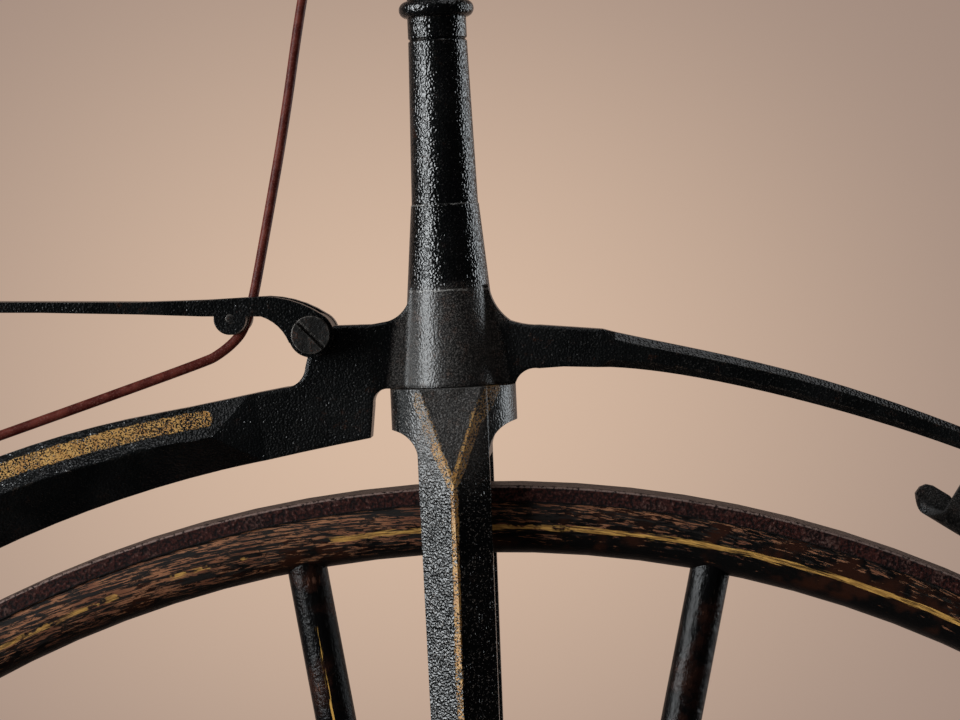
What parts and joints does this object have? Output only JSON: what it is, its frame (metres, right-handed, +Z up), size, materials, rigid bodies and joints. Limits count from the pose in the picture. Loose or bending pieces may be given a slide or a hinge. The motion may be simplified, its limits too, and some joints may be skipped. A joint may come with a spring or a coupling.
{
  "type": "velocipede",
  "caption": "Iron-framed velocipede with wooden spoked wheels, pedals on the front axle, a leaf-sprung saddle, a leg rest and a cord brake.",
  "frame": {"origin": "middle of the saddle's top, where the rider sits", "axes": "+X forward, +Y to the rider's left, +Z up"},
  "size_m": [1.8749, 0.6, 1.2647],
  "materials": {
    "black_iron": "worn black paint over forged iron",
    "worn_iron": "dark oiled iron",
    "tyre_iron": "rusty dark red iron",
    "felloe_wood": "worn black paint over brown wood with an ochre line",
    "spoke_wood": "glossy black paint over wood",
    "hub_wood": "worn black paint over wood",
    "grip_wood": "turned and waxed",
    "brass": "dull",
    "saddle_leather": "old and polished by use",
    "cord": "red-brown twisted cord"
  },
  "bodies": {
    "frame": {"head": "black_iron", "backbone": "black_iron", "rear_fork_arms": "black_iron", "leg_rest_arm": "black_iron", "leg_rest_horns": "black_iron", "spring": "black_iron", "spring_bolt": "worn_iron", "cord_pulley": "brass", "pulley_pin": "worn_iron", "spring_stays": "black_iron", "spring_shackle_pin": "worn_iron", "saddle": "saddle_leather", "saddle_plate": "black_iron", "saddle_clamp": "black_iron", "rear_axle": "worn_iron", "brake_bracket": "black_iron", "brake_pin": "worn_iron", "brake_lever": "black_iron", "brake_cord": "cord"},
    "fork": {"fork_crown": "black_iron", "fork_blades": "black_iron", "fork_bearings": "brass", "steering_stem": "black_iron", "handlebar_yoke": "black_iron", "handlebar": "black_iron", "grips": "grip_wood", "cord_winding": "cord"},
    "front_wheel": {"front_tyre": "tyre_iron", "front_felloe": "felloe_wood", "front_spokes": "spoke_wood", "front_hub": "hub_wood", "front_hub_bands": "black_iron", "front_axle": "worn_iron", "cranks": "worn_iron"},
    "rear_wheel": {"rear_tyre": "tyre_iron", "rear_felloe": "felloe_wood", "rear_spokes": "spoke_wood", "rear_hub": "hub_wood", "rear_hub_bands": "black_iron"},
    "pedal_left": {"pedal_left_frame": "black_iron", "pedal_left_treads": "brass"},
    "pedal_right": {"pedal_right_frame": "black_iron", "pedal_right_treads": "brass"}
  },
  "joints": [
    {"name": "steering", "type": "hinge", "parent": "frame", "child": "fork", "pos_m": [0.52, 0, -0.612], "axis": [-0.0443, 0, 0.999], "range_deg": [-40, 40]},
    {"name": "front_wheel_spin", "type": "hinge", "parent": "fork", "child": "front_wheel", "pos_m": [0.52, 0, -0.612], "axis": [0, 1, 0], "continuous": true},
    {"name": "rear_wheel_spin", "type": "hinge", "parent": "frame", "child": "rear_wheel", "pos_m": [-0.48, 0, -0.687], "axis": [0, 1, 0], "continuous": true},
    {"name": "pedal_left_spin", "type": "hinge", "parent": "front_wheel", "child": "pedal_left", "pos_m": [0.43282, 0.15, -0.48749], "axis": [0, 1, 0], "continuous": true},
    {"name": "pedal_right_spin", "type": "hinge", "parent": "front_wheel", "child": "pedal_right", "pos_m": [0.60718, -0.15, -0.73651], "axis": [0, 1, 0], "continuous": true}
  ]
}
